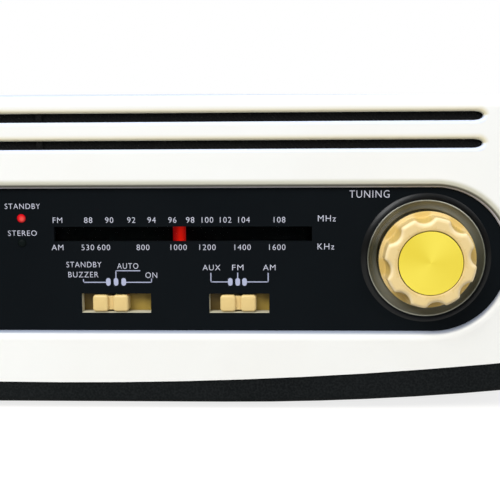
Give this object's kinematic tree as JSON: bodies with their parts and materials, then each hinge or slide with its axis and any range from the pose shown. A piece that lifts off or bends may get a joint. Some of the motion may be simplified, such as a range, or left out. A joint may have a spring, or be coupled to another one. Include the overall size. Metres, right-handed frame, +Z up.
{
  "type": "table radio",
  "caption": "Low wide table radio with sound slots, a sliding-pointer dial, round knobs, slide switches, clock window and a telescopic aerial on its back.",
  "frame": {"origin": "under the middle of the whole radio, on the surface its feet stand on", "axes": "+X along the width, to the right as seen from the front; +Y from the front to the back; +Z up"},
  "size_m": [0.35, 0.1483, 0.1105],
  "materials": {
    "cabinet_white": "smooth satin-gloss moulded plastic, warm white",
    "case_black": "fine-grained moulded plastic, near-black",
    "panel_black": "satin sprayed plastic, blue-black, with printed legends",
    "ring_olive": "satin dark olive-grey",
    "knob_cream": "smooth satin-gloss moulded plastic, cream",
    "disc_gilt": "spun, yellow-green anodised",
    "clear_plastic": "clear, flat",
    "display_glass": "dark, flat",
    "pointer_red": "gloss",
    "dial_black": "flat black",
    "lamp_red": "clear red, lit",
    "lamp_green": "clear dark green, unlit",
    "button_grey": "satin",
    "switch_black": "moulded",
    "steel": "plain",
    "zinc": "dull zinc",
    "chrome": "polished",
    "screw_black": "black oxide",
    "circuit_board": "green solder mask",
    "chip_black": "moulded",
    "can_blue": "sleeved",
    "capacitor_case": "clear-box plastic",
    "pulley_white": "nylon",
    "cord_thread": "twisted thread",
    "mesh_cloth": "woven",
    "speaker_steel": "painted pressing",
    "cone_paper": "pressed paper",
    "ferrite": "dark ceramic",
    "copper_wire": "enamelled copper",
    "coil_tape": "tape-wrapped",
    "rubber": "matt"
  },
  "bodies": {
    "radio": {"aerial_bracket": "chrome", "back_panel": "case_black", "board_capacitors": "can_blue", "board_chips": "chip_black", "case_screws": "screw_black", "clock_display": "display_glass", "clock_window": "clear_plastic", "control_board": "circuit_board", "control_panel": "panel_black", "dial_backplate": "dial_black", "dial_chassis": "steel", "dial_cord": "cord_thread", "dial_lens": "clear_plastic", "feet": "rubber", "ferrite_coil": "copper_wire", "ferrite_rod": "ferrite", "front_shell": "cabinet_white", "left_speaker_cone": "cone_paper", "left_speaker_frame": "speaker_steel", "left_speaker_magnet": "ferrite", "line_jack": "switch_black", "main_board": "circuit_board", "mains_inlet": "switch_black", "mode_switch": "switch_black", "pointer_rail": "steel", "rear_shell": "case_black", "right_speaker_cone": "cone_paper", "right_speaker_frame": "speaker_steel", "right_speaker_magnet": "ferrite", "slot_mesh": "mesh_cloth", "source_switch": "switch_black", "standby_lamp": "lamp_red", "stereo_lamp": "lamp_green", "transformer_coil": "coil_tape", "transformer_core": "steel", "tuning_bezel": "ring_olive", "tuning_bushes": "zinc", "tuning_capacitor": "capacitor_case", "volume_bezel": "ring_olive", "volume_pot": "zinc"},
    "tuning": {"tuning_knob": "knob_cream", "tuning_knob_disc": "disc_gilt", "tuning_shaft": "steel"},
    "drum": {"tuning_drum": "pulley_white"},
    "idler_left": {"left_idler": "pulley_white"},
    "idler_right": {"right_idler": "pulley_white"},
    "pointer": {"dial_pointer": "pointer_red"},
    "volume": {"volume_knob": "knob_cream", "volume_knob_disc": "disc_gilt", "volume_shaft": "steel"},
    "mode_button": {"mode_switch_cap": "knob_cream"},
    "source_button": {"source_switch_cap": "knob_cream"},
    "press_1": {"clock_button_1": "button_grey"},
    "press_2": {"clock_button_2": "button_grey"},
    "press_3": {"clock_button_3": "button_grey"},
    "press_4": {"clock_button_4": "button_grey"},
    "swivel": {"aerial_swivel": "chrome"},
    "aerial_base": {"aerial_tube_1": "chrome"},
    "aerial_middle": {"aerial_tube_2": "chrome"},
    "aerial_tip": {"aerial_tube_3": "chrome"}
  },
  "joints": [
    {"name": "tuning_spin", "type": "hinge", "parent": "radio", "child": "tuning", "pos_m": [0.12675, -0.06115, 0.054], "axis": [0, 1, 0], "range_deg": [-607, 658]},
    {"name": "drum_spin", "type": "hinge", "parent": "radio", "child": "drum", "pos_m": [0.1, -0.04715, 0.04], "axis": [0, 1, 0], "range_deg": [-87, 94]},
    {"name": "idler_left_spin", "type": "hinge", "parent": "radio", "child": "idler_left", "pos_m": [-0.01, -0.04715, 0.066], "axis": [0, 1, 0], "range_deg": [-609, 660]},
    {"name": "idler_right_spin", "type": "hinge", "parent": "radio", "child": "idler_right", "pos_m": [0.092, -0.04715, 0.066], "axis": [0, 1, 0], "range_deg": [-609, 660]},
    {"name": "pointer_slide", "type": "slide", "parent": "radio", "child": "pointer", "axis": [1, 0, 0], "range_m": [-0.0318, 0.0345]},
    {"name": "volume_spin", "type": "hinge", "parent": "radio", "child": "volume", "pos_m": [-0.12675, -0.06115, 0.054], "axis": [0, 1, 0], "range_deg": [-150, 150]},
    {"name": "mode_slide", "type": "slide", "parent": "radio", "child": "mode_button", "axis": [1, 0, 0], "range_m": [0, 0.00544]},
    {"name": "source_slide", "type": "slide", "parent": "radio", "child": "source_button", "axis": [1, 0, 0], "range_m": [-0.0025, 0.0025]},
    {"name": "press_1_slide", "type": "slide", "parent": "radio", "child": "press_1", "axis": [0, 1, 0], "range_m": [0, 0.0008], "stiffness_N_per_m": 300, "springref_m": -0.001},
    {"name": "press_2_slide", "type": "slide", "parent": "radio", "child": "press_2", "axis": [0, 1, 0], "range_m": [0, 0.0008], "stiffness_N_per_m": 300, "springref_m": -0.001},
    {"name": "press_3_slide", "type": "slide", "parent": "radio", "child": "press_3", "axis": [0, 1, 0], "range_m": [0, 0.0008], "stiffness_N_per_m": 300, "springref_m": -0.001},
    {"name": "press_4_slide", "type": "slide", "parent": "radio", "child": "press_4", "axis": [0, 1, 0], "range_m": [0, 0.0008], "stiffness_N_per_m": 300, "springref_m": -0.001},
    {"name": "aerial_swivel_turn", "type": "hinge", "parent": "radio", "child": "swivel", "pos_m": [0.138, 0.06335, 0.0944], "axis": [0, 1, 0], "range_deg": [0, 180]},
    {"name": "aerial_tilt", "type": "hinge", "parent": "swivel", "child": "aerial_base", "pos_m": [0.138, 0.06995, 0.0944], "axis": [0, 0, -1], "range_deg": [0, 90]},
    {"name": "aerial_extend_1", "type": "slide", "parent": "aerial_base", "child": "aerial_middle", "axis": [-1, 0, 0], "range_m": [0, 0.18]},
    {"name": "aerial_extend_2", "type": "slide", "parent": "aerial_middle", "child": "aerial_tip", "axis": [-1, 0, 0], "range_m": [0, 0.18]}
  ],
  "couplings": [
    {"joint": "pointer_slide", "follows": "tuning_spin", "m_per_rad": 0.003},
    {"joint": "drum_spin", "follows": "tuning_spin", "ratio": 0.14084},
    {"joint": "idler_left_spin", "follows": "tuning_spin", "ratio": 1},
    {"joint": "idler_right_spin", "follows": "tuning_spin", "ratio": 1}
  ]
}
